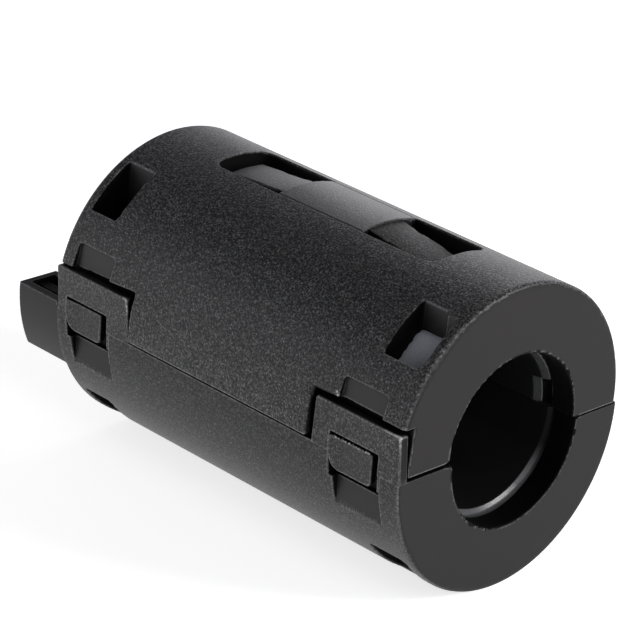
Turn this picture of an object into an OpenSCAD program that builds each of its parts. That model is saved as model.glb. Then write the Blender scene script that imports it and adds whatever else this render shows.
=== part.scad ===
// Clip-on cable ferrite: two half-ring cores in a hinged, latching case.
// X runs along the cable bore, +Z is up, the case splits near z = 0.
// The latches are on the -Y side and the hinge on the +Y side.
// The origin is on the bore axis, half way along the case.

/* [Case] */
// Length of the case between its two end faces
case_len = 38.6; // [38.4:0.1:40]
// Outer radius of each half of the case
case_r = 12; // [11.9:0.05:12.1]
// How far the upper half's arc centre stands above the bore axis
upper_lift = 0.76; // [0.5:0.02:0.8]
// How far the lower half's arc centre stands below the bore axis
lower_lift = 0.32; // [0.24:0.02:0.4]
// Offset of the upper half's arc centre towards the latches
upper_shift = 0.6; // [0.5:0.02:0.66]
// Offset of the lower half's arc centre towards the latches
lower_shift = 0.26; // [0.22:0.02:0.3]
// Open gap between the two halves on the latch side
split_gap = 0.3; // [0.2:0.05:0.4]
// Gap between the two halves on the hinge side
hinge_gap = 0.08; // [0.06:0.01:0.12]
// Thickness of the end walls
end_wall = 2.2; // [2:0.1:2.3]
// Radius of the round opening in the end walls
end_hole_r = 6.75; // [6.6:0.05:7]
// Rounding of the outer end edges
edge_r = 0.45; // [0.2:0.05:0.5]

/* [Core] */
// Bore radius of the ferrite
core_bore_r = 6.5; // [6:0.05:6.55]
// Outer radius of the ferrite
core_outer_r = 10.3; // [10:0.05:10.35]
// How far each half core's outer arc is lifted from the bore axis
core_lift = 0.15; // [0:0.05:0.2]
// Length of the ferrite
core_len = 34; // [32:0.1:34.1]
// Chamfer on the ends of the ferrite bore
core_chamfer = 0.5; // [0.2:0.05:0.6]

/* [Latches] */
// Height of a latch loop above the bore axis
tab_top = 3.78; // [3.6:0.02:3.9]
// Thickness of a latch loop
tab_t = 0.86; // [0.7:0.02:0.9]
// Depth below the bore axis where a latch loop flexes
tab_root = 2; // [1.8:0.1:2.2]
// Height of the top edge of the near loop's window
window_top = 1.37; // [1.3:0.01:1.5]
// Height of the catch edge of the near barb
barb_top = 1.15; // [1:0.01:1.2]
// How far a barb hangs below the bore axis
barb_drop = 1.64; // [1.2:0.02:1.76]
// How much lower the far window and barb sit than the near ones
far_drop = 0.18; // [0:0.02:0.3]
// Lower edge of the pocket that a barb hangs into
pocket_drop = 2.3; // [2.2:0.1:2.8]

/* [Core springs] */
// Half length of the spring opening in the crown
slot_x = 12.1; // [11.5:0.1:12.4]
// Half width of the spring opening in the crown
slot_y = 2.93; // [2.8:0.01:3]
// Half length of the flush land that carries the two spring arms
land_x = 4.6; // [4:0.1:5]
// Thickness of a spring arm beside its pressing foot
arm_t = 0.8; // [0.6:0.05:0.9]
// Fall of the near spring arm for each mm of its length
arm_fall = 0.113; // [0.09:0.001:0.13]

/* [Hinge] */
// Distance of the hinge line from the bore axis
hinge_y = 12.3; // [12.2:0.05:12.6]
// Width of a hinge strap
strap_w = 8; // [6:0.5:9]
// Distance of a hinge strap's middle from the middle of the case
strap_x = 11; // [9:0.5:12]
// Thickness of a hinge strap
strap_t = 0.5; // [0.4:0.05:0.6]

/* [Lug] */
// How far the hollow lug stands out of the far end face
lug_len = 4.85; // [3.5:0.05:5.2]
// Height of the lug's rim above the bore axis
lug_top = 0.33; // [0:0.01:0.4]
// Depth of the lug below the bore axis
lug_drop = 5.4; // [4.5:0.05:5.5]
// Wall of the lug
lug_wall = 0.65; // [0.5:0.05:0.8]

/* [Hidden] */
$fn = 128;
e = 0.02;
hl = case_len / 2;
cav_r = core_outer_r + 0.2;
cav_lift = core_lift + 0.15;
cav_hl = hl - end_wall;
split_z = split_gap / 2;
hinge_z = hinge_gap / 2;
tab_y = -(case_r + lower_shift);      // outer plane of the latch loops
tab_in = tab_y + tab_t;               // inner plane of the latch loops
seat_y = tab_in + 0.2;                // floor of the seat behind a loop
relief_y = -11.45;                    // floor of the relief below a barb
pocket_y = -11.0;                     // floor of the pocket behind a barb
barb_y = tab_y + 0.2;                 // outer face of a barb
pad_y = 11.2;                         // flat land where a hinge strap meets the case
strap_ri = 0.5;
strap_ro = strap_ri + strap_t;
crown = upper_lift + case_r;
// near loop, far loop: [outer end, inner end, window edges, barb edges, drop, gap over the loop]
NEAR = [hl, 10.02, 11.9, 17.0, 11.98, 16.3, 0, 0.32];
FAR = [-hl, -10.7, -18.2, -13.35, -18.12, -14.2, far_drop, 0.2];
// side windows of each half: [x from, x to, end of the shallow step]
NEAR_WIN = [14.5, 17.2, 18.3];
FAR_WIN = [-18.35, -15.25, -15.25];
// edges of the side windows, [upper half, lower half]
win_y0 = [6.18, 5.8];
win_y1 = [9.93, 9.5];
// middle of the end openings in y and z, [upper half, lower half]
hole_at = [[-0.2, 0.28], [0.2, -0.38]];
plastic = [0.09, 0.09, 0.095];
ferrite = [0.2, 0.2, 0.21];

// box from one corner to the opposite one
module box(a, b) {
    translate([min(a[0], b[0]), min(a[1], b[1]), min(a[2], b[2])])
        cube([abs(b[0] - a[0]), abs(b[1] - a[1]), abs(b[2] - a[2])]);
}

// solid round body along X with rounded end edges
module barrel(r, h, q) {
    rotate([0, 90, 0]) rotate_extrude()
        union() {
            translate([0, -h + q]) square([r, 2 * (h - q)]);
            translate([0, -h]) square([r - q, 2 * h]);
            for (s = [-1, 1]) intersection() {
                translate([r - q, s * (h - q)]) circle(q);
                translate([0, -h]) square([r, 2 * h]);
            }
        }
}

module rod(r, x0, x1) {
    translate([x0, 0, 0]) rotate([0, 90, 0]) cylinder(r = r, h = x1 - x0);
}

// upright prism with rounded corners, used for the spring opening
module round_slot(x0, x1, y0, y1, z0, z1, q) {
    translate([0, 0, z0]) linear_extrude(z1 - z0) union() {
        translate([x0 + q, y0]) square([x1 - x0 - 2 * q, y1 - y0]);
        translate([x0, y0 + q]) square([x1 - x0, y1 - y0 - 2 * q]);
        for (x = [x0 + q, x1 - q], y = [y0 + q, y1 - q]) translate([x, y]) circle(q);
    }
}

// everything on one side of the split, s = 1 above, -1 below
module half_space(s) {
    box([-30, -20, s * split_z], [30, 0.5, s * 20]);
    box([-30, 0, s * hinge_z], [30, 20, s * 20]);
}

// cable-side openings of one half, s = 1 above, -1 below
module common_cuts(s) {
    k = s > 0 ? 0 : 1;
    // room for the core
    translate([0, 0, s * cav_lift]) rod(cav_r, -cav_hl, cav_hl);
    // end openings, those of the two halves a little out of line with each other
    translate([0, hole_at[k][0], hole_at[k][1]]) rod(end_hole_r, -hl - 1, hl + 1);
    // side windows, the near ones with a shallow step over the end wall
    for (w = [NEAR_WIN, FAR_WIN], t = [-1, 1])
        box([w[0], t * win_y0[k], s * 5.6], [w[1], t * win_y1[k], s * 14]);
    for (t = [-1, 1]) difference() {
        box([NEAR_WIN[1] - 0.1, t * (win_y0[k] + 0.3), s * 3], [NEAR_WIN[2], t * win_y1[k], s * 14]);
        rod(10.9, 0, 30);
    }
    // spring opening on both sides of the land
    difference() {
        round_slot(-slot_x, slot_x, -slot_y, slot_y, s > 0 ? 9 : -14, s > 0 ? 14 : -9, 1);
        box([-land_x, -4, -15], [land_x, 4, 15]);
    }
    // flat lands for the hinge straps
    for (t = [-1, 1])
        box([t * strap_x - strap_w / 2, pad_y, -s * 0.05], [t * strap_x + strap_w / 2, 14, s * 1.4]);
}

// the two arms that press the core, standing on the land, s = 1 above, -1 below
module spring_arms(s, top) {
    y0 = -slot_y + 0.61;
    y1 = slot_y - 1.43;
    tip = core_outer_r + core_lift + 0.03;
    end = slot_x - 1.1;
    for (t = [-1, 1]) {
        // the far arm lies a little flatter than the near one
        z1 = top - 0.3 - (t > 0 ? arm_fall : arm_fall - 0.036) * (end - land_x);
        under = max(z1 - arm_t, tip + 0.1);
        translate([0, y1, 0]) rotate([90, 0, 0]) linear_extrude(y1 - y0)
            polygon([[t * (land_x - 0.6), s * (top - 0.3)], [t * land_x, s * (top - 0.3)],
                     [t * end, s * z1], [t * end, s * tip], [t * (end - 0.9), s * tip],
                     [t * (end - 1.2), s * under],
                     [t * (land_x - 0.6), s * (top - 0.45 - arm_t)]]);
    }
}

// barb of one latch, hanging from the upper half into the loop's window
module barb(l) {
    top = barb_top - l[6];
    translate([l[4], 0, 0]) rotate([90, 0, 90]) linear_extrude(l[5] - l[4])
        polygon([[seat_y + 0.3, top], [barb_y, top], [barb_y, -barb_drop + 0.3],
                 [barb_y + 0.15, -barb_drop], [relief_y - 0.1, -barb_drop],
                 [relief_y - 0.1, split_z], [seat_y + 0.3, split_z]]);
}

module lower_shell() {
    color(plastic) difference() {
        union() {
            intersection() {
                translate([0, -lower_shift, -lower_lift]) barrel(case_r, hl, edge_r);
                half_space(-1);
            }
            // hollow lug on the far end face
            intersection() {
                translate([0, -lower_shift, -lower_lift]) rod(case_r, -hl - lug_len, -hl + 1);
                union() {
                    box([-hl - lug_len, -14, -lug_drop], [-hl, -8.4, lug_top]);
                    box([-hl - 1, -14, -lug_drop], [-hl + 0.8, -8.4, -split_z]);
                }
            }
        }
        common_cuts(-1);
        for (l = [NEAR, FAR]) {
            // seat for the root of the loop
            box([l[0] + sign(l[0]), -14, -tab_root], [l[1], tab_in, 1]);
            // relief under the barb, deeper where the barb hangs
            box([l[2] + 0.45, -14, -8], [l[3] + 0.25, relief_y, 1]);
            box([l[2] + 0.05, -14, -pocket_drop], [l[3] + 0.25, pocket_y, 1]);
        }
        // pocket of the lug, with a rib left across it
        difference() {
            box([-hl - lug_len + lug_wall, -11.5, -2.6], [-hl - 0.6, -8.4 - lug_wall, 1]);
            box([-hl - lug_len, -10.6, -3], [-hl, -9.9, -0.45]);
        }
    }
    color(plastic) spring_arms(-1, lower_lift + case_r);
}

module upper_shell() {
    color(plastic) difference() {
        intersection() {
            translate([0, -upper_shift, upper_lift]) barrel(case_r, hl, edge_r);
            half_space(1);
        }
        common_cuts(1);
        for (l = [NEAR, FAR]) {
            // seat behind the loop
            box([l[0] + sign(l[0]), -14, -1], [l[1] - sign(l[0]) * 0.3, seat_y, tab_top + l[7]]);
            // sloping relief above the barb
            translate([l[2] + 0.4, 0, 0]) rotate([90, 0, 90]) linear_extrude(l[3] - l[2] - 0.5)
                polygon([[-14, 1], [-12.42, 1], [-11.28, 5.75], [-14, 5.75]]);
        }
    }
    color(plastic) {
        spring_arms(1, crown);
        barb(NEAR);
        barb(FAR);
    }
}

// half ring, s = 1 above, -1 below
module half_core(s) {
    difference() {
        translate([0, 0, s * core_lift]) rod(core_outer_r, -core_len / 2, core_len / 2);
        rod(core_bore_r, -core_len, core_len);
        for (t = [0, 1]) mirror([t, 0, 0])
            translate([core_len / 2 - core_chamfer, 0, 0]) rotate([0, 90, 0])
                cylinder(r1 = core_bore_r, r2 = core_bore_r + 2 * core_chamfer, h = 2 * core_chamfer);
        box([-30, -20, s * 0.01], [30, 20, -s * 20]);
    }
}

module lower_core() { color(ferrite) half_core(-1); }
module upper_core() { color(ferrite) half_core(1); }

// latch loop: two legs and a cross bar, flush with the lower half at its root
module latch_loop(l) {
    difference() {
        union() {
            box([l[0], tab_y, -lower_lift], [l[1], tab_in, tab_top]);
            intersection() {
                box([l[0], -14, -tab_root], [l[1], tab_in, -lower_lift + e]);
                translate([0, -lower_shift, -lower_lift]) rod(case_r, -30, 30);
            }
        }
        box([l[2], -14, -5], [l[3], -10, window_top - l[6]]);
    }
}

module near_latch_loop() { color(plastic) latch_loop(NEAR); }
module far_latch_loop() { color(plastic) latch_loop(FAR); }

// strap bent round the hinge line from one half to the other
module hinge_strap(t) {
    translate([t * strap_x - strap_w / 2, 0, 0]) rotate([90, 0, 90]) linear_extrude(strap_w)
        union() {
            translate([hinge_y, 0]) difference() {
                circle(strap_ro);
                circle(strap_ri);
                translate([-2, -2]) square([2, 4]);
            }
            for (s = [-1, 1]) translate([pad_y, s > 0 ? strap_ri : -strap_ro])
                square([hinge_y - pad_y, strap_t]);
        }
}

module near_hinge_strap() { color(plastic) hinge_strap(1); }
module far_hinge_strap() { color(plastic) hinge_strap(-1); }

lower_shell();
upper_shell();
lower_core();
upper_core();
near_latch_loop();
far_latch_loop();
near_hinge_strap();
far_hinge_strap();
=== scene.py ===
import math

import bpy
import numpy as np
from mathutils import Matrix, Vector


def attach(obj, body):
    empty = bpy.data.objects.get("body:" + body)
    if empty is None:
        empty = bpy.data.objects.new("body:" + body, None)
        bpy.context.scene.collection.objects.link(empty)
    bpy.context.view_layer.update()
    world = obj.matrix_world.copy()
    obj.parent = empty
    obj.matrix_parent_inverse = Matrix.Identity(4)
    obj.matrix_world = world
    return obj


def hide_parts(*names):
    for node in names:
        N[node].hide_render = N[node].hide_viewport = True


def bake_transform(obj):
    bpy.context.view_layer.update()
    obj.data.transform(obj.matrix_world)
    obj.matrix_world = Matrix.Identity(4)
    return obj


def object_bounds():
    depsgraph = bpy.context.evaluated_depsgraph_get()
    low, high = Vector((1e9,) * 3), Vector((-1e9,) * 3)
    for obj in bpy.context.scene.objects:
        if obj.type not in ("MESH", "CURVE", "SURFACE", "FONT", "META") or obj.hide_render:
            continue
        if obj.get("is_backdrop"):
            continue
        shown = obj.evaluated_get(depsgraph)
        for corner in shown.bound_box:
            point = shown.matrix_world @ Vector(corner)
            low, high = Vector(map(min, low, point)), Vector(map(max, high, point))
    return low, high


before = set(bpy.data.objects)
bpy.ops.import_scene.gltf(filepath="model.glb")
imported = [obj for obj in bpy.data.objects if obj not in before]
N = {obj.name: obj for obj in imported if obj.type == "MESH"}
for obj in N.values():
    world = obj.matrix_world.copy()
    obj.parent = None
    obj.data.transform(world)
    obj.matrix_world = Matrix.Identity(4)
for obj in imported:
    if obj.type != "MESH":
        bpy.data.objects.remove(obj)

cad_lo, cad_hi = (list(v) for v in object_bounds())
MM = 0.001

# ---------------------------------------------------------------- distance-field modelling, in mm
# Every moulding is described as a signed distance with true edge radii, meshed on a
# graded grid and then pulled exactly onto its zero surface.


def hyp(a, b):
    return np.sqrt(a * a + b * b)


def rmax(a, b, r):
    """intersection with a round edge of radius r"""
    u = np.maximum(a + r, 0.0)
    v = np.maximum(b + r, 0.0)
    return np.minimum(-r, np.maximum(a, b)) + np.sqrt(u * u + v * v)


def rmin(a, b, r):
    """union with a fillet of radius r"""
    u = np.maximum(r - a, 0.0)
    v = np.maximum(r - b, 0.0)
    return np.maximum(r, np.minimum(a, b)) - np.sqrt(u * u + v * v)


def sstep(x, a, b):
    t = np.clip((x - a) / (b - a), 0.0, 1.0)
    return t * t * (3 - 2 * t)


def box(X, Y, Z, lo, hi, r):
    q = []
    for P, a, b in zip((X, Y, Z), lo, hi):
        q.append(np.abs(P - 0.5 * (a + b)) - (0.5 * (b - a) - r))
    out = np.sqrt(np.maximum(q[0], 0) ** 2 + np.maximum(q[1], 0) ** 2 + np.maximum(q[2], 0) ** 2)
    return out + np.minimum(np.maximum(np.maximum(q[0], q[1]), q[2]), 0) - r


def rect(A, B, lo, hi, r):
    """rounded rectangle in two coordinates"""
    q = np.abs(A - 0.5 * (lo[0] + hi[0])) - (0.5 * (hi[0] - lo[0]) - r)
    w = np.abs(B - 0.5 * (lo[1] + hi[1])) - (0.5 * (hi[1] - lo[1]) - r)
    return np.sqrt(np.maximum(q, 0) ** 2 + np.maximum(w, 0) ** 2) + np.minimum(np.maximum(q, w), 0) - r


def convex(A, B, pts, r):
    """convex outline, points clockwise"""
    d = None
    for (a0, b0), (a1, b1) in zip(pts, pts[1:] + pts[:1]):
        n = math.hypot(a1 - a0, b1 - b0)
        e = (-(b1 - b0) * (A - a0) + (a1 - a0) * (B - b0)) / n
        d = e if d is None else rmax(d, e, r)
    return d


HL, R = 19.298, 11.997
UP_C, LO_C = (-0.6, 0.76), (-0.26, -0.32)
TAB_Y, TAB_IN, TAB_TOP, WIN_TOP = -12.26, -11.4, 3.78, 1.37
SEAT_Y, RELIEF_Y = -11.2, -11.45
# loops: outer end, inner end, window edges, barb edges, drop, gap over the loop
NEAR = (19.3, 10.3, 11.9, 17.0, 11.98, 16.3, 0.0, 0.4)
FAR = (-19.3, -10.7, -18.2, -13.35, -18.12, -14.2, 0.18, 0.2)
WINDOWS = ((14.5, 17.2), (-18.35, -15.25))


def half_case(X, Y, W, cy, cw, edge, hole, win):
    """what both halves share; W is the height away from the split"""
    ax, ay = np.abs(X), np.abs(Y)
    skin = hyp(Y - cy, W - cw) - R
    d = rmax(skin, ax - HL, edge)
    cav = rmax(hyp(Y, W - 0.3) - 10.5, ax - 17.1, 0.2)
    d = rmax(d, -cav, 0.06)
    d = rmax(d, 6.75 - hyp(Y - hole[0], W - hole[1]), 0.13)
    d = rmax(d, np.where(Y < 0.25, 0.15, 0.055) - W, np.where(Y < 0.25, 0.05 + 0.2 * sstep(ay, 7.6, 6.9), 0.015))
    for x0, x1 in WINDOWS:
        d = rmax(d, -box(X, ay, W, (x0, win[0], 5.6), (x1, win[1], 20), 0.22), 0.07)
    # shallow step of the near windows over the end wall
    step = rmax(rect(X, ay, (16.9, win[0] + 0.3), (18.3, win[1]), 0.3), 10.9 - hyp(Y, W), 0.1)
    d = rmax(d, -np.maximum(step, 5.75 - W), 0.1)
    # spring opening on both sides of the land, and a fine score along the land
    s = np.maximum(rect(X, Y, (-12.1, -2.93), (12.1, 2.93), 1.0), 4.6 - ax)
    d = rmax(d, -np.maximum(s, 9.0 - W), 0.06)
    score = np.maximum(np.maximum(np.abs(ay - 2.93) - 0.055, ax - 4.7), -(skin + 0.045))
    d = np.maximum(d, -score)
    # spring arms: they leave the land just below its surface and slope down to the core
    d0 = np.maximum(ax - 4.6, 0.0)
    drop = np.where(X > 0, 0.1 + 0.03 * (Y + 2.2) + 0.142 * d0, 0.2 + 0.015 * (Y + 2.2) + 0.077 * d0)
    top = hyp(Y - cy, W - cw + drop) - R
    under = np.minimum(0.98 * (cw + R - 1.2 - np.where(X > 0, 0.113, 0.077) * d0 - W), rmax(10.5 - W, 10.1 - ax, 0.1))
    arm = rmax(rmax(top, under, 0.08), rmax(rmax(ax - 11.0, Y - 1.5, 0.3), -2.2 - Y, 0.25), 0.07)
    arm = np.maximum(arm, 4.2 - ax)
    d = rmin(d, arm, 0.05)
    # flat lands for the hinge straps
    for t in (-1, 1):
        d = rmax(d, -box(X, Y, W, (t * 11 - 4, 11.2, -3), (t * 11 + 4, 16, 1.4), 0.1), 0.06)
    return d


def f_upper(X, Y, Z):
    d = half_case(X, Y, Z, UP_C[0], UP_C[1], 0.42 - 0.22 * sstep(Y, 2.0, 6.0), (-0.2, 0.28), (6.18, 9.93))
    for l in (NEAR, FAR):
        s = 1 if l[0] > 0 else -1
        # seat behind the loop: its floor falls back above the barb, and its upper edge is soft
        floor_y = -11.36 + 0.1 * np.maximum(Z - 1.0, 0.0)
        inner = 9.72 if s > 0 else -10.38
        seat = rmax(s * (inner - X), 0.995 * (Y - floor_y), 0.1)
        # the ledge over the loop is not quite parallel to it
        ledge = TAB_TOP + (0.1 + 0.3 * sstep(X, 10.3, 13.0) - 0.01 * (X - 10.0) if s > 0 else -0.1 + 0.06 * (X + 19.3))
        d = rmax(d, -rmax(seat, Z - ledge, 0.12), 0.05 + (0.12 + (0.45 * sstep(X, 13.4, 10.4) if s > 0 else 0.0)) * sstep(Z, 3.0, 3.7) * sstep(X, -19.0, -16.0))
        # sloping relief above the barb
        rel = rmax(rect(X, Z, (l[2] + 0.4, -6.0), (l[3] - 0.1, 5.75), 0.3), 0.975 * (Y + 12.42 - 0.24 * (Z - 1.0)), 0.05)
        d = rmax(d, -np.maximum(rel, 1.0 - Z), 0.05)
        # barb: a tongue that hangs into the loop's window, its catch edge torn by use on the near one
        x0, x1, zt = l[2] - 0.1, l[5], 1.09 - l[6]
        rag = 0.0
        if s > 0:
            rag = 0.06 * np.sin(12.3 * X) * np.sin(5.1 * X + 0.7) + 0.04 * np.sin(27.0 * X + 1.1)
        t = rect(X, Z, (x0, -1.64), (x1, zt + 0.5), 0.08)
        t = rmax(t, Z - zt - rag, 0.05)
        t = np.maximum(t, rmax(x0 - X, -1.64 - Z, 1.3))
        t = np.maximum(t, rmax(X - x1, -1.64 - Z, 0.42))
        face = -12.13 - 0.1 * sstep(X, l[2] + 1.5, l[2]) + (0.0 if s < 0 else -0.05 * np.maximum(0.0, np.sin(9.4 * X + 0.4)) * np.exp(-((Z - 1.06) / 0.13) ** 2))
        tongue = rmax(t, rmax(face - Y, Y + 11.55, 0.1), 0.1)
        tongue = rmin(tongue, box(X, Y, Z, (x0, -11.75, 0.15), (x1, -10.8, zt), 0.05), 0.05)
        d = np.minimum(d, tongue)
    return d


def f_lower(X, Y, Z):
    edge = np.where(X > 0, 0.36 - 0.16 * sstep(Z, -5.0, -0.6) * sstep(Y, -6.0, -10.0), 0.18)
    d = half_case(X, Y, -Z, LO_C[0], -LO_C[1], edge, (0.2, 0.38), (5.95, 9.65))
    # hollow lug on the far end face
    rod = hyp(Y - LO_C[0], Z - LO_C[1]) - R
    lug = rmax(rod, box(X, Y, Z, (-24.148, -14, -5.42), (-18.6, -8.4, 0.33), 0.12), 0.12)
    lug = np.maximum(lug, np.where(X > -19.3, Z + 0.15, -1.0))
    d = rmin(d, lug, 0.08)
    pocket = box(X, Y, Z, (-23.5, -11.5, -2.6), (-19.9, -9.05, 3), 0.15)
    pocket = np.maximum(pocket, -box(X, Y, Z, (-25, -10.75, -5), (-19, -9.75, -0.05), 0.08))
    d = rmax(d, -pocket, 0.06)
    for l in (NEAR, FAR):
        d = rmax(d, -box(X, Y, Z, (l[2] + 0.45, -16, -8), (l[3] + 0.25, RELIEF_Y, 3), 0.1), 0.05)
        d = rmax(d, -box(X, Y, Z, (l[2] + 0.05, -16, -2.24), (l[3] + 0.25, -11.0, 3), 0.1), 0.05)
    return d


def f_loop(l):
    s = 1 if l[0] > 0 else -1
    x0, x1 = min(l[0], l[1]), max(l[0], l[1])
    # the legs draw in towards the top, and the far loop leans out a little
    in0, in1, lean = (0.2, 0.28, 0.0) if s > 0 else (0.0, 0.18, 0.26)
    if s > 0:
        x0 -= 0.28

    def f(X, Y, Z):
        up = np.maximum(Z, 0.0) / TAB_TOP
        Y = Y + lean * up * np.sqrt(up + 1e-9)
        mid, half = 0.5 * (x0 + x1 + (in0 - in1) * up), 0.5 * (x1 - x0 - (in0 + in1) * up)
        q, w = np.abs(X - mid) - (half - 0.25), np.abs(Z - 0.31) - (3.31 - 0.25)
        plan = np.sqrt(np.maximum(q, 0) ** 2 + np.maximum(w, 0) ** 2) + np.minimum(np.maximum(q, w), 0) - 0.25
        # flat above the split, following the round of the lower half below it
        front = np.where(Z > LO_C[1], TAB_Y - Y, hyp(Y - LO_C[0], Z - LO_C[1]) - R)
        d = rmax(plan, rmax(front, Y - TAB_IN, 0.1), 0.14)
        d = rmax(d, -1.7 - Z, 0.05)
        d = rmax(d, -rect(X, Z, (l[2], -9.0), (l[3], WIN_TOP - l[6]), 0.15), 0.06)
        # the root sinks into the wall of the lower half
        return d + 0.04 * sstep(Z, -0.12, -0.4)
    return f


def f_core(s):
    def f(X, Y, Z):
        ax, W = np.abs(X), s * Z
        r = hyp(Y, Z)
        if s > 0:
            # this half sits a little back, and a corner is broken out beside the split on the hinge side
            end = 16.9 - 1.0 * sstep(W - 0.36 * Y, 0.1, -0.1) * (Y > 0) * (X > 0)
            cone = ((6.5 - r) * 0.94 + (ax - end + 0.75) * 0.34)
        else:
            end = 17.05
            cone = 0.847 * (ax - 16.8) - 0.53 * (r - 6.5)
        d = rmax(hyp(Y, W - 0.15) - 10.3, ax - end, 0.25)
        d = rmax(d, 6.5 - r, 0.06)
        d = rmax(d, cone, 0.06)
        d = rmax(d, 0.01 - W, 0.03)
        # small chips along the sintered edges
        chip = 0.05 * np.maximum(0.0, np.sin(1.9 * Y + 0.6 * X) * np.sin(2.3 * Z - 0.4 * X) - 0.45) * sstep(ax, 16.2, 16.7)
        return d + chip
    return f


def lines(lo, hi, base, planes, fine, grow=0.36, dense=()):
    """grid coordinates that close up at the given planes"""
    out, x = [lo], lo
    while x < hi:
        s = min([base] + [max(fine, abs(x - c) * grow) for c in planes])
        for a, b, m in dense:
            if a <= x <= b:
                s = min(s, m)
        x += s
        out.append(x)
    return np.array(out)


def grad(f, P, e=0.004):
    g = np.empty_like(P)
    for i in range(3):
        q = P.copy()
        q[:, i] += e
        a = f(q[:, 0], q[:, 1], q[:, 2])
        q[:, i] -= 2 * e
        g[:, i] = (a - f(q[:, 0], q[:, 1], q[:, 2])) / (2 * e)
    return g


def net(f, xs, ys, zs):
    """surface net of f on a graded grid, with its points drawn onto f = 0"""
    V = np.concatenate([np.broadcast_to(f(xs[i:i + 24, None, None], ys[None, :, None], zs[None, None, :]),
                                        (len(xs[i:i + 24]), len(ys), len(zs))) for i in range(0, len(xs), 24)])
    S = V < 0
    n = np.zeros(tuple(k - 1 for k in S.shape), np.int8)
    for a in (0, 1):
        for b in (0, 1):
            for c in (0, 1):
                n += S[a:S.shape[0] - 1 + a, b:S.shape[1] - 1 + b, c:S.shape[2] - 1 + c]
    act = (n > 0) & (n < 8)
    idx = np.full(n.shape, -1, np.int64)
    I, J, K = np.nonzero(act)
    idx[act] = np.arange(len(I))
    ax = (xs, ys, zs)
    acc = np.zeros((len(I), 3))
    cnt = np.zeros(len(I))
    corner = {(a, b, c): V[I + a, J + b, K + c] for a in (0, 1) for b in (0, 1) for c in (0, 1)}
    at = {(a, b, c): np.stack([xs[I + a], ys[J + b], zs[K + c]], 1) for a in (0, 1) for b in (0, 1) for c in (0, 1)}
    for p in corner:
        for i in range(3):
            if p[i] == 0:
                q = tuple(1 if j == i else p[j] for j in range(3))
                va, vb = corner[p], corner[q]
                m = (va < 0) != (vb < 0)
                t = np.where(m, va / np.where(m, va - vb, 1.0), 0.0)
                acc += np.where(m[:, None], at[p] + t[:, None] * (at[q] - at[p]), 0.0)
                cnt += m
    P = acc / cnt[:, None]
    cell = np.stack([np.diff(xs)[I], np.diff(ys)[J], np.diff(zs)[K]], 1)
    lim = cell.min(1) * 0.7
    for _ in range(4):
        v = f(P[:, 0], P[:, 1], P[:, 2])
        g = grad(f, P)
        P -= (np.clip(v, -lim, lim) / np.maximum((g * g).sum(1), 0.2))[:, None] * g
    quads = []
    for i in range(3):
        a = [slice(1, -1)] * 3
        b = [slice(1, -1)] * 3
        a[i], b[i] = slice(None, -1), slice(1, None)
        e = S[tuple(a)] != S[tuple(b)]
        ijk = list(np.nonzero(e))
        for j in range(3):
            if j != i:
                ijk[j] = ijk[j] + 1
        j, k = (i + 1) % 3, (i + 2) % 3
        ring = []
        for dj, dk in ((-1, -1), (0, -1), (0, 0), (-1, 0)):
            c = list(ijk)
            c[j] = c[j] + dj
            c[k] = c[k] + dk
            ring.append(idx[tuple(c)])
        q = np.stack(ring, 1)
        inside = S[tuple(ijk)]
        q[~inside] = q[~inside][:, ::-1]
        quads.append(q)
    g = grad(f, P)
    g /= np.maximum(np.linalg.norm(g, axis=1), 1e-9)[:, None]
    return P, np.concatenate(quads), g


def moulding(name, f, xs, ys, zs, *materials):
    P, Q, G = net(f, xs, ys, zs)
    me = bpy.data.meshes.new(name)
    me.from_pydata((P * MM).tolist(), [], Q.tolist())
    me.validate()
    me.shade_smooth()
    me.normals_split_custom_set_from_vertices(G.tolist())
    # how sharply the surface turns at each point, for rubbed edges with painted edge highlights, and dull corners
    h = 0.15
    lap = -6.0 * f(P[:, 0], P[:, 1], P[:, 2])
    for i in range(3):
        for k in (-h, h):
            q = P.copy()
            q[:, i] += k
            lap = lap + f(q[:, 0], q[:, 1], q[:, 2])
    at = me.attributes.new("turn", "FLOAT", "POINT")
    at.data.foreach_set("value", np.clip(lap / (h * h) / 10.0, -1.0, 1.0).astype(np.float32))
    for m in materials:
        me.materials.append(m)
    if len(materials) > 1:
        # end faces take the second finish
        c = P[Q].mean(1)
        g = G[Q].mean(1)
        me.polygons.foreach_set("material_index", ((np.abs(c[:, 0]) > 19.22) & (np.abs(g[:, 0]) > 0.86)).astype(np.int32))
    o = bpy.data.objects.new(name, me)
    bpy.context.scene.collection.objects.link(o)
    print(name, len(xs), len(ys), len(zs), "triangles", 2 * len(Q))
    return o


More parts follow.
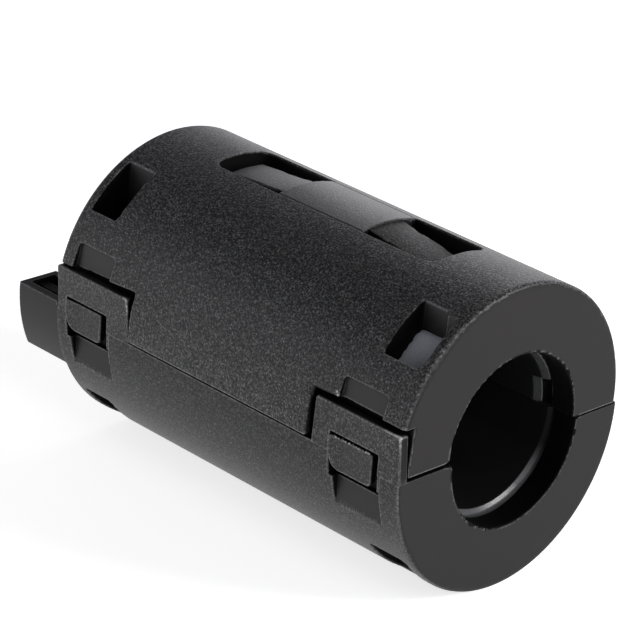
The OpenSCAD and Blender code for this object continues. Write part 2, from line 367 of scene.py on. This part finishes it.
# ---------------------------------------------------------------- node helpers
class Tree:
    """Small helper around a node tree: node() adds, link() connects."""

    def __init__(self, tree):
        self.t = tree
        tree.nodes.clear()

    def node(self, kind, **props):
        n = self.t.nodes.new(kind)
        for k, v in props.items():
            setattr(n, k, v)
        return n

    def link(self, a, b):
        self.t.links.new(a, b)

    def put(self, sock, v):
        if isinstance(v, (int, float)):
            sock.default_value = v
        else:
            self.link(v, sock)

    def math(self, op, a, b=None, c=None, clamp=False):
        n = self.node("ShaderNodeMath", operation=op, use_clamp=clamp)
        for i, v in enumerate((a, b, c)):
            if v is not None:
                self.put(n.inputs[i], v)
        return n.outputs[0]

    def mul(self, *vs):
        out = vs[0]
        for v in vs[1:]:
            out = self.math("MULTIPLY", out, v)
        return out

    def add(self, *vs):
        out = vs[0]
        for v in vs[1:]:
            out = self.math("ADD", out, v)
        return out

    def inv(self, v):
        return self.math("SUBTRACT", 1.0, v)

    def step(self, v, lo, hi, a=0.0, b=1.0):
        n = self.node("ShaderNodeMapRange", interpolation_type="SMOOTHSTEP", clamp=True)
        n.inputs["From Min"].default_value = lo
        n.inputs["From Max"].default_value = hi
        n.inputs["To Min"].default_value = a
        n.inputs["To Max"].default_value = b
        self.link(v, n.inputs["Value"])
        return n.outputs["Result"]

    def noise(self, vec, scale, detail=2.0, rough=0.5):
        n = self.node("ShaderNodeTexNoise", noise_dimensions="3D")
        n.inputs["Scale"].default_value = scale
        n.inputs["Detail"].default_value = detail
        n.inputs["Roughness"].default_value = rough
        self.link(vec, n.inputs["Vector"])
        return n.outputs["Fac"]

    def cells(self, vec, scale, smooth=0.4):
        n = self.node("ShaderNodeTexVoronoi", feature="SMOOTH_F1")
        n.inputs["Scale"].default_value = scale
        n.inputs["Smoothness"].default_value = smooth
        self.link(vec, n.inputs["Vector"])
        return n.outputs["Distance"]

    def mixc(self, fac, a, b):
        n = self.node("ShaderNodeMix", data_type="RGBA")
        self.put(n.inputs["Factor"], fac)
        for s, v in ((n.inputs[6], a), (n.inputs[7], b)):
            if isinstance(v, tuple):
                s.default_value = (*v, 1.0)
            else:
                self.link(v, s)
        return n.outputs[2]

    def place(self):
        """position in mm in the part's own frame, and its three coordinates"""
        co = self.node("ShaderNodeTexCoord").outputs["Object"]
        sc = self.node("ShaderNodeVectorMath", operation="SCALE")
        sc.inputs["Scale"].default_value = 1000.0
        self.link(co, sc.inputs[0])
        xyz = self.node("ShaderNodeSeparateXYZ")
        self.link(sc.outputs[0], xyz.inputs[0])
        return sc.outputs[0], xyz.outputs


def new_mat(name):
    m = bpy.data.materials.new(name)
    m.use_nodes = True
    t = Tree(m.node_tree)
    out = t.node("ShaderNodeOutputMaterial")
    bsdf = t.node("ShaderNodeBsdfPrincipled")
    t.link(bsdf.outputs[0], out.inputs["Surface"])
    return m, t, bsdf


def grey(v, tint=0.0):
    return (v * (1 - tint), v, v * (1 + 1.5 * tint))


def occlusion_shade(t, reach=2.4):
    """painted shade from ambient occlusion: 0 in open surfaces, towards 1 far inside gaps"""
    n = t.node("ShaderNodeAmbientOcclusion", samples=8)
    n.inputs["Distance"].default_value = reach * MM
    return t.step(n.outputs["AO"], 0.86, 0.34)


def turn(t):
    n = t.node("ShaderNodeAttribute", attribute_type="GEOMETRY", attribute_name="turn")
    return n.outputs["Fac"]


def dots(t, p, scale, size, pick):
    """scattered grains: one per cell, only some of them bright"""
    n = t.node("ShaderNodeTexVoronoi", feature="F1")
    n.inputs["Scale"].default_value = scale
    t.link(p, n.inputs["Vector"])
    c = t.node("ShaderNodeSeparateColor")
    t.link(n.outputs["Color"], c.inputs[0])
    return t.mul(t.step(n.outputs["Distance"], size, size * 0.3), t.step(c.outputs[0], pick, 1.0))


def case_plastic(name, centre, gain=1.0, torn=False, gloss=0.4, shade=(), relief=0.034, tone=0.17):
    """Black moulded plastic: spark-eroded grain on the drawn outer skin, plain satin on cut walls.
    centre is the (y, z) of the skin's arc in mm, or None where the outer side is the flat of a latch loop.
    shade lists boxes (x0, x1, y0, y1, z0, z1, amount) whose walls get painted shade: dark and dull."""
    m, t, bsdf = new_mat(name)
    p, (x, y, z) = t.place()
    ax, ay = t.math("ABSOLUTE", x), t.math("ABSOLUTE", y)
    if centre:
        dy, dz = t.add(y, -centre[0]), t.add(z, -centre[1])
        r = t.math("SQRT", t.add(t.mul(dy, dy), t.mul(dz, dz)))
        skin = t.mul(t.step(r, 11.8, 11.92), t.step(ax, 19.2, 19.28, 1.0, 0.0))
        land = t.mul(t.step(ax, 4.5, 4.6, 1.0, 0.0), t.step(ay, 2.86, 2.92, 1.0, 0.0))
        arm = t.mul(t.step(ax, 4.6, 4.7), t.step(ax, 11.05, 10.95), t.step(ay, 2.75, 2.65), t.step(t.math("ABSOLUTE", z), 10.3, 10.5))
        skin = t.math("MAXIMUM", skin, t.mul(arm, 0.7))
        if torn:
            skin = t.math("MAXIMUM", skin, t.mul(t.step(y, -12.1, -12.15), 0.7))
        amount = t.mul(skin, gain, t.math("SUBTRACT", 1.0, t.mul(land, 0.4)))
    else:
        skin = t.step(y, -12.1, -12.2)
        amount = t.mul(skin, gain)
    # grain: dense fine grit with some brighter grains on a pitted ground
    grit = t.math("POWER", t.step(t.noise(p, 6.0, 3.0, 0.7), 0.38, 0.76), 1.5)
    spark = t.mul(t.math("MAXIMUM", t.mul(grit, 0.75), dots(t, p, 4.8, 0.5, 0.45)), amount)
    pit = t.noise(p, 9.0, 3.0, 0.65)
    h = t.add(t.mul(spark, 0.9), t.mul(pit, t.math("MULTIPLY_ADD", amount, 0.6, 0.12)))
    bump = t.node("ShaderNodeBump")
    bump.inputs["Strength"].default_value = 1.0
    bump.inputs["Distance"].default_value = relief * MM
    t.link(h, bump.inputs["Height"])
    t.link(bump.outputs[0], bsdf.inputs["Normal"])
    # tone: the grit is lighter, partly grain colour and partly painted glints; broad mottling everywhere; pale rubbed
    # edges that also carry painted highlights; painted shade in corners and gaps
    broad = t.noise(p, 0.35, 3.0, 0.55)
    col = t.mixc(broad, grey(0.008, 0.01), grey(0.012, 0.01))
    # painted glints: the grit's specks are mixed towards a lighter grey, partly grain colour
    col = t.mixc(t.mul(spark, 0.9), col, grey(tone, 0.01))
    # rubbed edges, partly real wear and partly painted edge highlights
    rub_and_highlight = t.mul(t.step(turn(t), 0.17, 0.5), t.step(t.noise(p, 6.0, 3.0, 0.65), 0.34, 0.66, 0.25, 1.0))
    col = t.mixc(t.mul(rub_and_highlight, 0.6), col, grey(0.17))
    if centre:
        # painted highlight: bright specks along the rounded end rim
        glint = t.mul(t.step(ax, 18.9, 19.05), t.step(t.noise(p, 5.0, 2.0, 0.6), 0.44, 0.7), gain)
        col = t.mixc(t.mul(glint, skin, 0.6), col, grey(0.22))
    else:
        # painted highlights on the loops: the near one's outer corner and the far one's inner edge
        place = t.math("MAXIMUM", t.mul(t.step(x, 16.6, 18.4), t.step(z, 2.4, 3.3)), t.mul(t.step(t.math("ABSOLUTE", t.add(x, 10.9)), 0.5, 0.4), t.step(z, 0.9, 1.8)))
        loop_highlight = t.mul(place, t.step(turn(t), 0.25, 0.6), t.step(t.noise(p, 2.4, 3.0, 0.6), 0.36, 0.6))
        col = t.mixc(t.mul(loop_highlight, 0.85), col, grey(0.4))
    if torn:
        pale = t.math("MAXIMUM", t.mul(land, skin), t.mul(arm, t.step(x, -4.6, -4.7)))
        col = t.mixc(t.mul(pale, 0.65), col, grey(0.06, 0.02))
        # pale burr where the catch edge of the near barb has been scraped, with a painted highlight along that edge
        on = t.mul(t.step(x, 11.9, 12.05), t.step(x, 16.35, 16.25), t.step(y, -11.9, -11.97), t.step(z, 0.9, 1.04))
        fleck = t.step(t.noise(p, 4.6, 2.0, 0.6), 0.5, 0.58)
        col = t.mixc(t.mul(on, fleck), col, grey(0.42))
    # painted shade: gaps and the walls of the end openings are painted dark and lose their reflection
    rb = t.math("SQRT", t.add(t.mul(y, y), t.mul(z, z)))
    painted_shade = t.math("MAXIMUM", occlusion_shade(t), t.mul(t.step(rb, 7.35, 7.2), 0.95))
    for x0, x1, y0, y1, z0, z1, k in shade:
        inside = t.mul(t.step(x, x0 - 0.03, x0 + 0.03), t.step(x, x1 + 0.03, x1 - 0.03), t.step(y, y0 - 0.03, y0 + 0.03),
                       t.step(y, y1 + 0.03, y1 - 0.03), t.step(z, z0 - 0.1, z0 + 0.1), t.step(z, z1 + 0.03, z1 - 0.03), k)
        painted_shade = t.math("MAXIMUM", painted_shade, t.mul(inside, t.inv(skin)))
    col = t.mixc(painted_shade, col, grey(0.001))
    t.link(col, bsdf.inputs["Base Color"])
    t.link(t.mixc(painted_shade, (1.0, 1.0, 1.0), (0.05, 0.05, 0.05)), bsdf.inputs["Specular Tint"])
    rough = t.add(t.mul(broad, 0.06), t.math("MULTIPLY_ADD", painted_shade, 0.3, 0.43), t.mul(amount, -0.13))
    t.link(rough, bsdf.inputs["Roughness"])
    shine = t.math("MULTIPLY_ADD", spark, 2.3, t.math("MULTIPLY_ADD", amount, -0.55, 1.0))
    if torn:
        shine = t.mul(shine, t.inv(t.mul(arm, t.step(x, 4.6, 4.7), 0.6)), t.math("MULTIPLY_ADD", pale, 0.8, 1.0))
    t.link(t.mul(shine, gloss), bsdf.inputs["Specular IOR Level"])
    return m


def end_plastic(name):
    """Smooth satin of the end faces, very faintly warm, with fine rubbing marks, a rubbed hole rim that also carries
    painted highlights, and painted shade along the hinge-side split.
    """
    m, t, bsdf = new_mat(name)
    p, (x, y, z) = t.place()
    broad = t.noise(p, 0.3, 3.0, 0.55)
    fine = t.noise(p, 7.0, 3.0, 0.6)
    col = t.mixc(broad, (0.0125, 0.0115, 0.0115), (0.017, 0.0155, 0.0155))
    col = t.mixc(t.mul(t.step(fine, 0.6, 0.75), 0.3), col, (0.04, 0.037, 0.037))
    rb = t.math("SQRT", t.add(t.mul(y, y), t.mul(z, z)))
    # rubbed hole rim, partly real wear and partly painted highlight
    rub_and_highlight = t.mul(t.step(rb, 7.6, 7.5), t.step(turn(t), 0.17, 0.5), t.step(t.noise(p, 5.0, 3.0, 0.6), 0.36, 0.62, 0.2, 1.0))
    col = t.mixc(t.mul(rub_and_highlight, 0.35), col, grey(0.2))
    # painted shade: the hinge-side split is painted black and loses its reflection
    seam_shade = t.mul(t.step(t.math("ABSOLUTE", z), 0.13, 0.1), t.step(y, 5.5, 6.0))
    col = t.mixc(seam_shade, col, grey(0.001))
    t.link(t.mixc(seam_shade, (1.0, 1.0, 1.0), (0.03, 0.03, 0.03)), bsdf.inputs["Specular Tint"])
    t.link(col, bsdf.inputs["Base Color"])
    bump = t.node("ShaderNodeBump")
    bump.inputs["Strength"].default_value = 0.25
    bump.inputs["Distance"].default_value = 0.012 * MM
    t.link(fine, bump.inputs["Height"])
    t.link(bump.outputs[0], bsdf.inputs["Normal"])
    t.link(t.math("MULTIPLY_ADD", broad, 0.08, 0.46), bsdf.inputs["Roughness"])
    bsdf.inputs["Specular IOR Level"].default_value = 0.16
    return m


def ferrite(name):
    """Sintered ferrite: pale grey outside on the upper half as painted light, painted shade on the lower half's outside
    and in the bore, bright where its bore edges are ground.
    """
    m, t, bsdf = new_mat(name)
    p, (x, y, z) = t.place()
    r = t.math("SQRT", t.add(t.mul(y, y), t.mul(z, z)))
    n1 = t.noise(p, 9.0, 4.0, 0.6)
    n2 = t.noise(p, 0.5, 3.0, 0.5)
    bump = t.node("ShaderNodeBump")
    bump.inputs["Strength"].default_value = 0.35
    bump.inputs["Distance"].default_value = 0.03 * MM
    t.link(n1, bump.inputs["Height"])
    t.link(bump.outputs[0], bsdf.inputs["Normal"])
    col = t.mixc(t.step(n1, 0.35, 0.7), grey(0.48, 0.06), grey(0.62, 0.06))
    col = t.mixc(t.mul(n2, 0.5), col, grey(0.53, 0.06))
    # painted shade: the lower half's outside is painted dark; the upper half's pale grey stands in for light falling on
    # it through its window
    col = t.mixc(t.step(z, 0.1, -0.1), col, grey(0.07, 0.04))
    ax = t.math("ABSOLUTE", x)
    bore = t.step(r, 6.62, 6.52)
    wide = t.step(z, 0.05, -0.05, 6.84, 7.3)
    ground = t.mul(t.step(r, 6.515, 6.56), t.math("LESS_THAN", r, wide), t.step(ax, 14.9, 15.1))
    inner = t.mul(t.step(r, 8.2, 7.8), t.step(ax, 15.5, 15.7))
    # painted shade: the bore and the inner end ring are painted near black; the ground edge is lighter except beside
    # the split on the lower half, where the painted shade stays
    col = t.mixc(t.math("MAXIMUM", bore, inner), col, grey(0.006, 0.02))
    col = t.mixc(t.mul(ground, t.math("MAXIMUM", t.step(z, -2.7, -5.5), t.step(z, -0.05, 0.05))), col, grey(0.05, 0.02))
    # painted shade in gaps
    painted_shade = t.mul(occlusion_shade(t, 1.2), t.step(r, 9.6, 9.2))
    t.link(t.mixc(t.mul(painted_shade, t.inv(ground), 0.9), col, grey(0.004)), bsdf.inputs["Base Color"])
    # painted shade: the ground edge of the lower half loses its reflection beside the split
    split_shade = t.mul(t.step(z, -5.5, -2.7), t.step(z, 0.05, -0.05), t.step(r, 7.6, 7.3))
    t.link(t.mixc(split_shade, (1.0, 1.0, 1.0), (0.03, 0.03, 0.03)), bsdf.inputs["Specular Tint"])
    t.link(t.add(t.step(n1, 0.2, 0.8, 0.46, 0.34), t.mul(ground, -0.1)), bsdf.inputs["Roughness"])
    bsdf.inputs["Specular IOR Level"].default_value = 0.6
    return m


# the shade boxes paint shade into window walls, slot walls, recesses, the lug, the split gaps, the lower windows and
# the near loop's end face
M_UP = case_plastic("case_upper", UP_C, 1.0, True, 0.4,
                    ((14.4, 14.66, -10.3, -5.8, 5.4, 12, 0.93), (-18.45, -18.2, -10.3, -5.8, 5.4, 12, 0.93),
                     (-12.2, -11.75, -3.1, 3.1, 9, 13, 0.85), (-12.2, 12.2, 2.5, 3.1, 9, 13, 0.85)), 0.038, 0.105)
M_LO = case_plastic("case_lower", LO_C, 0.4, False, 0.3,
                    ((11.85, 12.42, -13, -10.9, -4.4, -0.5, 0.92), (-18.25, -17.7, -13, -10.9, -4.4, -0.5, 0.92),
                     (-23.6, -19.35, -11.6, -8.95, -3.0, 0.26, 0.72), (-24.3, -19.35, -12.3, -8.3, 0.27, 0.6, 0.55),
                     (-19.5, 19.5, 5.5, 13, -0.12, 0.2, 0.95), (-19.5, 19.5, -11.3, -5.5, -0.2, 0.2, 0.95),
                     (14.4, 18.4, -9.8, -5.8, -12.2, -5.3, 0.93), (-18.45, -15.2, -9.8, -5.8, -12.2, -5.3, 0.93)))
M_LOOP = case_plastic("case_loop", None, 0.6, False, 0.36, ((17.6, 19.3, -12.25, -10.5, -1.6, 3.4, 0.6),))
M_END = end_plastic("case_end")
M_FE = ferrite("ferrite_sintered")

# ---------------------------------------------------------------- the pieces
X_COMMON = [-19.3, -19.0, 19.0, 19.3, -17.1, 17.1, 14.5, 18.3, -18.35, -15.25, -12.1, 12.1, -4.6, 4.6, -11.0, 11.0, 7, 15, -7, -15]
Y_COMMON = [-2.93, 2.93, -2.2, 1.5, 11.2, 11.4]
xs = lines(-19.75, 19.75, 0.9, X_COMMON + [9.95, -10.35, 12.3, 16.9, 16.3, 11.98, -17.8, -13.45, -14.2, -18.12], 0.095, 0.62, ((11.9, 16.4, 0.14),))
ys = lines(-13.2, 12.0, 0.55, Y_COMMON + [-12.6, -12.0, -11.55, -11.3, -9.93, -6.18, -6.48, 6.18, 6.48, 9.93], 0.095, 0.58)
zs = lines(-2.1, 13.2, 0.5, [-1.64, 0.055, 0.15, 1.09, 1.4, 4.05, 5.75, 12.7], 0.095, 0.55)
upper = moulding("upper_case", f_upper, xs, ys, zs, M_UP, M_END)
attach(upper, "upper")
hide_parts("upper_shell")

xs = lines(-24.6, 19.75, 0.9, X_COMMON + [12.35, 17.25, 11.95, -17.75, -18.15, -13.1, -24.15, -23.5, -19.9], 0.095, 0.62)
ys = lines(-12.7, 12.2, 0.55, Y_COMMON + [-12.26, -11.45, -11.0, -8.4, -10.75, -9.75, -9.25, -6.25, -5.95, 5.95, 6.25, 9.65], 0.095, 0.58)
zs = lines(-12.8, 0.8, 0.5, [-12.3, -1.4, -0.15, -0.055, 0.33, -2.5, -5.42, -4.6], 0.095, 0.55)
lower = moulding("lower_case", f_lower, xs, ys, zs, M_LO, M_END)
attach(lower, "lower")
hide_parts("lower_shell")

for nm, l, body in (("near", NEAR, "near_latch"), ("far", FAR, "far_latch")):
    x0, x1 = min(l[0], l[1]), max(l[0], l[1])
    xs = lines(x0 - 0.3, x1 + 0.3, 0.3, [x0, x1, l[2], l[3]], 0.05, 0.4)
    ys = lines(-12.8, -11.1, 0.15, [TAB_Y, TAB_IN], 0.05, 0.4)
    zs = lines(-2.0, 4.0, 0.25, [WIN_TOP - l[6], TAB_TOP, -0.15, -1.7], 0.05, 0.4)
    o = moulding(nm + "_loop", f_loop(l), xs, ys, zs, M_LOOP)
    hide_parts(nm + "_latch_loop")
    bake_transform(o)

for nm, s in (("upper", 1), ("lower", -1)):
    xs = lines(-17.3, 17.3, 1.2, [-16.95, 16.95, -16.3, 16.3, 15.9, 15.2], 0.07, 0.4)
    ys = lines(-10.7, 10.7, 0.45, [-10.3, -6.5, 6.5, 10.3], 0.1, 0.4)
    zs = lines(-0.4, 10.8, 0.45, [0.0, 2.3, 10.4], 0.08, 0.4) if s > 0 else lines(-10.8, 0.4, 0.45, [0.0, -6.5, -10.4], 0.08, 0.4)
    o = moulding(nm + "_ferrite", f_core(s), xs, ys, zs, M_FE)
    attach(o, nm)
    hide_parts(nm + "_core")


def strap(name, x0, x1, node):
    """hinge strap: a thin band swept round the hinge line, with rounded long edges"""
    t, rm, hy, py = 0.494, 0.748, 12.298, 11.15
    path = [(py + (hy - py) * i / 6, -rm, 0.0, -1.0) for i in range(6)]
    for i in range(41):
        a = -math.pi / 2 + math.pi * i / 40
        path.append((hy + rm * math.cos(a), rm * math.sin(a), math.cos(a), math.sin(a)))
    path += [(hy - (hy - py) * i / 6, rm, 0.0, 1.0) for i in range(1, 7)]
    # section across the band: (x, offset along the outward normal)
    q, ring = 0.16, []
    for cx, cn, a0 in ((x1 - q, t / 2 - q, 0), (x0 + q, t / 2 - q, 90), (x0 + q, -t / 2 + q, 180), (x1 - q, -t / 2 + q, 270)):
        for k in range(5):
            a = math.radians(a0 + 22.5 * k)
            ring.append((cx + q * math.cos(a), cn + q * math.sin(a)))
    verts, faces = [], []
    m = len(ring)
    for y, z, ny, nz in path:
        for x, n in ring:
            verts.append((x * MM, (y + ny * n) * MM, (z + nz * n) * MM))
    for i in range(len(path) - 1):
        for j in range(m):
            a, b = i * m + j, i * m + (j + 1) % m
            faces.append((a, a + m, b + m, b))
    faces.append(tuple(range(m)))
    faces.append(tuple(range(len(verts) - 1, len(verts) - m - 1, -1)))
    me = bpy.data.meshes.new(name)
    me.from_pydata(verts, [], faces)
    me.validate()
    me.shade_smooth()
    me.set_sharp_from_angle(angle=math.radians(50))
    me.materials.append(M_LOOP)
    o = bpy.data.objects.new(name, me)
    bpy.context.scene.collection.objects.link(o)
    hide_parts(node)
    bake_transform(o)


strap("near_strap", 7.02, 14.98, "near_hinge_strap")
strap("far_strap", -14.98, -7.02, "far_hinge_strap")

# ---------------------------------------------------------------- floor, light, camera
FLOOR_Z = cad_lo[2]
bpy.ops.mesh.primitive_plane_add(size=6.0, location=(0, 0, FLOOR_Z - 0.00002))
floor = bpy.context.object
floor.name = "floor"
m, t, b = new_mat("floor_paper")
b.inputs["Roughness"].default_value = 0.9
b.inputs["Specular IOR Level"].default_value = 0.1
co = t.node("ShaderNodeTexCoord").outputs["Object"]
t.link(t.mixc(t.noise(co, 40.0, 3.0), (0.88, 0.88, 0.88), (0.92, 0.92, 0.92)), b.inputs["Base Color"])
b.inputs["Emission Color"].default_value = (1, 1, 1, 1)
b.inputs["Emission Strength"].default_value = 0.72
floor.data.materials.append(m)
floor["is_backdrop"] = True

world = bpy.data.worlds.new("studio")
bpy.context.scene.world = world
world.use_nodes = True
t = Tree(world.node_tree)
out = t.node("ShaderNodeOutputWorld")
bg = t.node("ShaderNodeBackground")
gen = t.node("ShaderNodeTexCoord").outputs["Generated"]
sep = t.node("ShaderNodeSeparateXYZ")
t.link(gen, sep.inputs[0])
ramp = t.node("ShaderNodeValToRGB")
t.link(t.math("MULTIPLY_ADD", sep.outputs[2], 0.5, 0.5), ramp.inputs[0])
cr = ramp.color_ramp
cr.elements[0].position = 0.0
cr.elements[0].color = (0.9, 0.9, 0.9, 1)
cr.elements[1].position = 1.0
cr.elements[1].color = (0.2, 0.2, 0.2, 1)
for pos, v in ((0.5, 0.92), (0.587, 0.82), (0.671, 0.5), (0.787, 0.15), (0.883, 0.05), (0.97, 0.05)):
    e = cr.elements.new(pos)
    e.color = (v * 0.985, v * 0.975, v * 1.05, 1)
t.link(ramp.outputs[0], bg.inputs["Color"])
bg.inputs["Strength"].default_value = 1.0
t.link(bg.outputs[0], out.inputs["Surface"])


def area(name, loc, target, size, power, size_y=None):
    d = bpy.data.lights.new(name, "AREA")
    d.shape = "RECTANGLE"
    d.size = size
    d.size_y = size_y or size
    d.energy = power
    o = bpy.data.objects.new(name, d)
    bpy.context.scene.collection.objects.link(o)
    o.location = loc
    o.rotation_euler = (Vector(target) - Vector(loc)).to_track_quat("-Z", "Y").to_euler()
    return o


# low softbox behind on the left, soft key over the camera's right shoulder
area("back_box", (-0.024, 0.05, 0.03), (0.018, 0, 0.012), 0.044, 0.0055, 0.036)
area("front_box", (-0.115, -0.095, 0.044), (-0.015, 0, 0.004), 0.04, 0.021, 0.032)
area("key_box", (0.30, -0.13, 0.24), (0, 0, 0), 0.16, 0.22)
area("ring_box", (0.26, 0.14, 0.15), (0.015, 0, -0.004), 0.10, 0.6)

# camera at the photograph's viewing angle
AZ, EL, ROLL = (math.radians(a) for a in (43.92, 24.39, 4.77))
F_PX, DIST = 3254.0, 0.2555
back = Vector((math.sin(AZ) * math.cos(EL), -math.cos(AZ) * math.cos(EL), math.sin(EL)))
right = (-back).cross(Vector((0, 0, 1))).normalized()
up = right.cross(-back).normalized()
r2 = math.cos(ROLL) * right + math.sin(ROLL) * up
u2 = -math.sin(ROLL) * right + math.cos(ROLL) * up
pos = back * DIST + Vector((0, -0.43, 0.15)) * MM
look = (-back * F_PX - r2 * 11.2 + u2 * 31.0).normalized()
r3 = (r2 - look * r2.dot(look)).normalized()
u3 = r3.cross(look)
cam = bpy.data.cameras.new("camera")
cam.sensor_width = 36.0
cam.lens = F_PX * 36.0 / 640.0
cam.clip_start = 0.01
cam.clip_end = 20.0
co = bpy.data.objects.new("camera", cam)
bpy.context.scene.collection.objects.link(co)
co.matrix_world = Matrix(((r3.x, u3.x, -look.x, pos.x), (r3.y, u3.y, -look.y, pos.y), (r3.z, u3.z, -look.z, pos.z), (0, 0, 0, 1)))
bpy.context.scene.camera = co
bpy.context.scene.view_settings.view_transform = "Standard"
